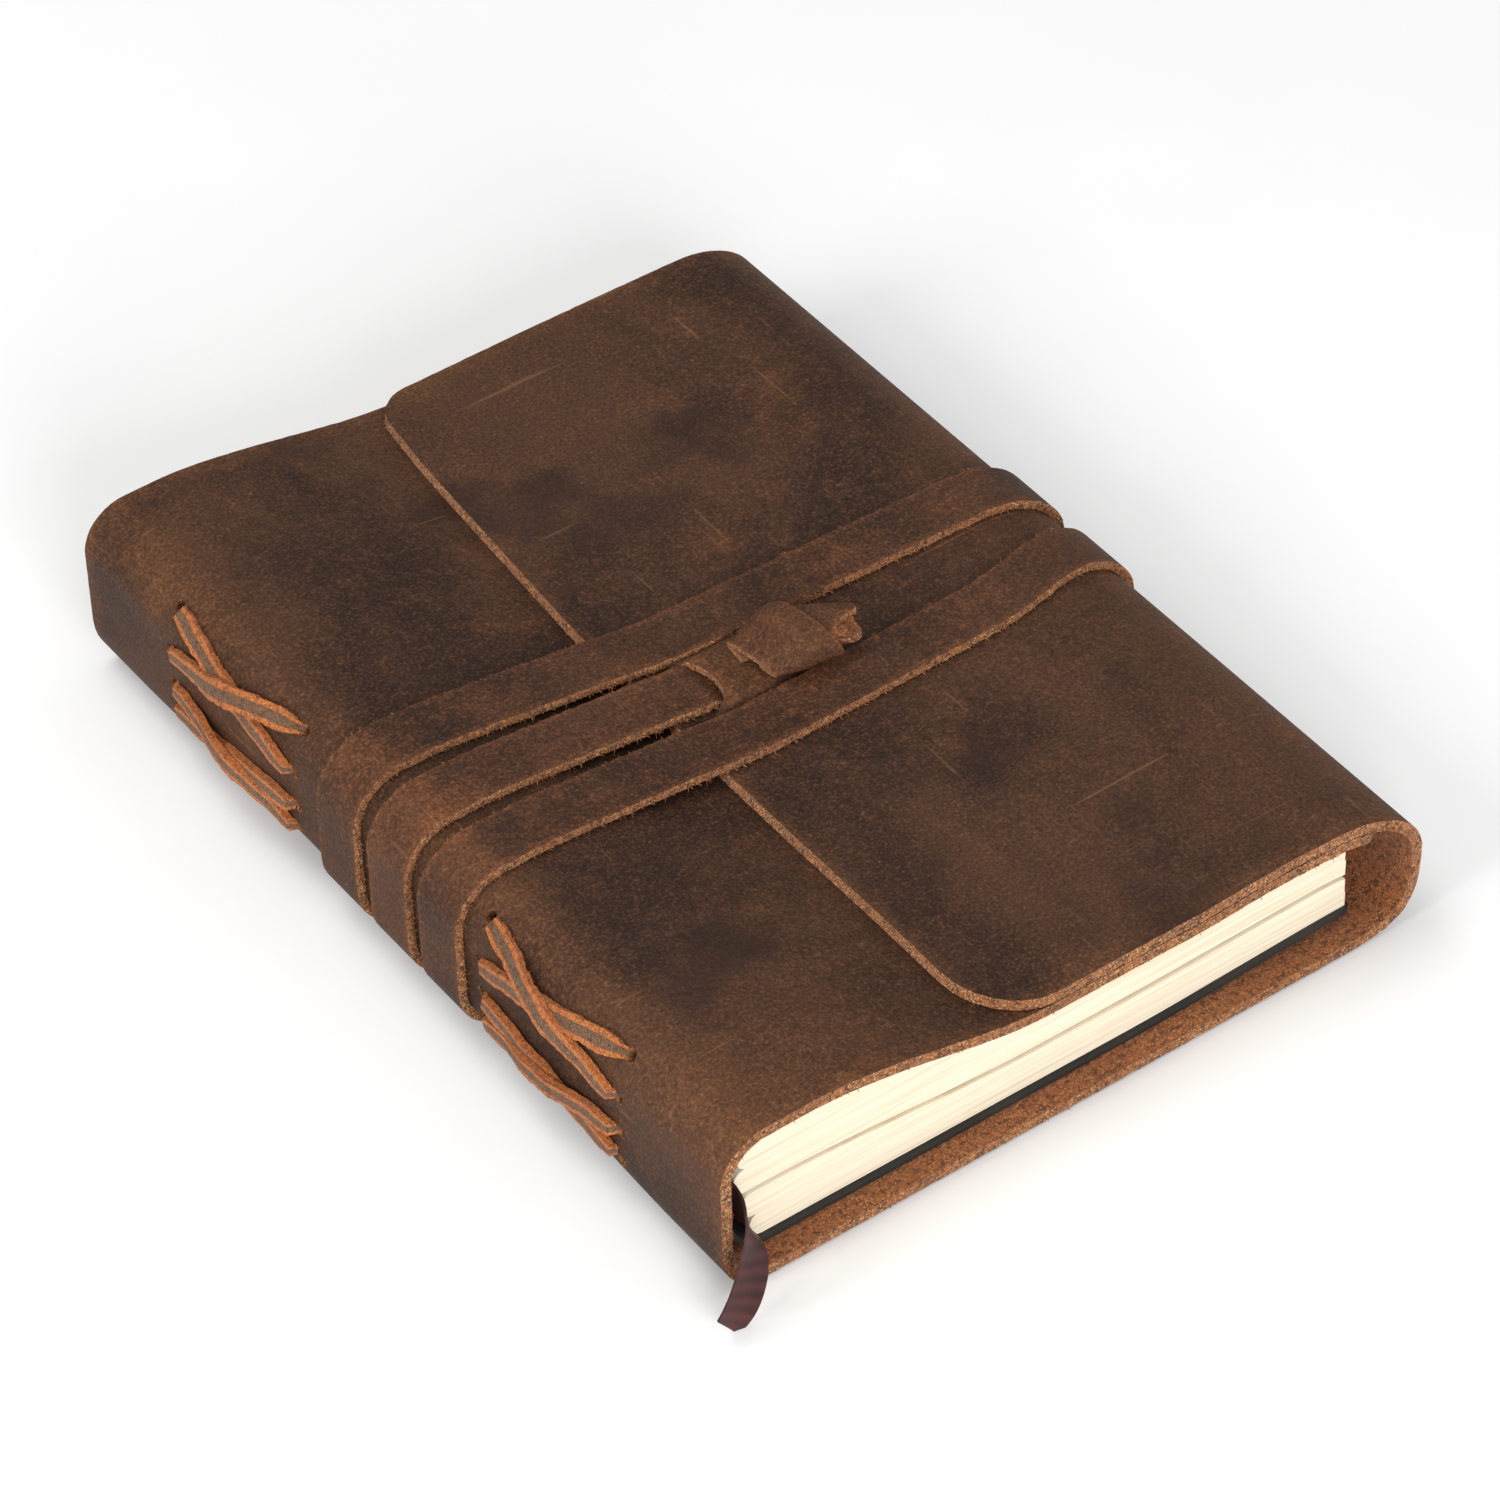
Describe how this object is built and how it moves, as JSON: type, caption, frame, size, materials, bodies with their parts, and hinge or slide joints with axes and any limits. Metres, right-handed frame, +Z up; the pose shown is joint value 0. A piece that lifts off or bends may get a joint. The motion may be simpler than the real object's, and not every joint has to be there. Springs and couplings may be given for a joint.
{
  "type": "leather notebook cover",
  "caption": "Wrap-style leather notebook cover with a fold-over flap, wound strap with rolled toggle, laced spine and a sewn paper insert.",
  "frame": {"origin": "middle of the face that the closed notebook rests on, on the underside of the strap where its turns cross", "axes": "+X from the spine to the fore edge, +Y from the tail to the head, +Z up through the closed notebook from its back to its front"},
  "size_m": [0.1441, 0.1842, 0.0382],
  "materials": {
    "hide": "matte waxed brown hide with darker blotches, scuffs and tan cut edges",
    "strap_leather": "matte brown hide strip with fuzzy tan cut edges",
    "suede_lace": "tan suede lace",
    "pages": "uncoated cream paper",
    "card": "black card",
    "thread": "undyed waxed thread",
    "ribbon": "dark brown satin ribbon"
  },
  "bodies": {
    "book": {"back_and_spine_leather": "hide", "insert_card_cover": "card", "signature_1": "pages", "signature_2": "pages", "signature_3": "pages", "signature_4": "pages", "signature_5": "pages", "insert_sewing_thread": "thread", "head_lace": "suede_lace", "tail_lace": "suede_lace", "strap_inner_turn": "strap_leather", "strap_outer_turn": "strap_leather", "strap_end": "strap_leather", "bookmark_ribbon": "ribbon"},
    "front_cover": {"front_cover_leather": "hide", "strap_cover_run_a": "strap_leather", "strap_cover_run_b": "strap_leather", "strap_cover_run_c": "strap_leather"},
    "flap": {"flap_leather": "hide", "strap_flap_run_a": "strap_leather", "strap_flap_run_c": "strap_leather", "strap_anchor_run": "strap_leather", "toggle_knot": "strap_leather"}
  },
  "joints": [
    {"name": "cover_open", "type": "hinge", "parent": "book", "child": "front_cover", "pos_m": [-0.058, 0, 0.0341], "axis": [0, -1, 0], "range_deg": [0, 180]},
    {"name": "flap_open", "type": "hinge", "parent": "book", "child": "flap", "pos_m": [0.06945, 0, 0.0185], "axis": [0, 1, 0], "range_deg": [0, 180]}
  ]
}
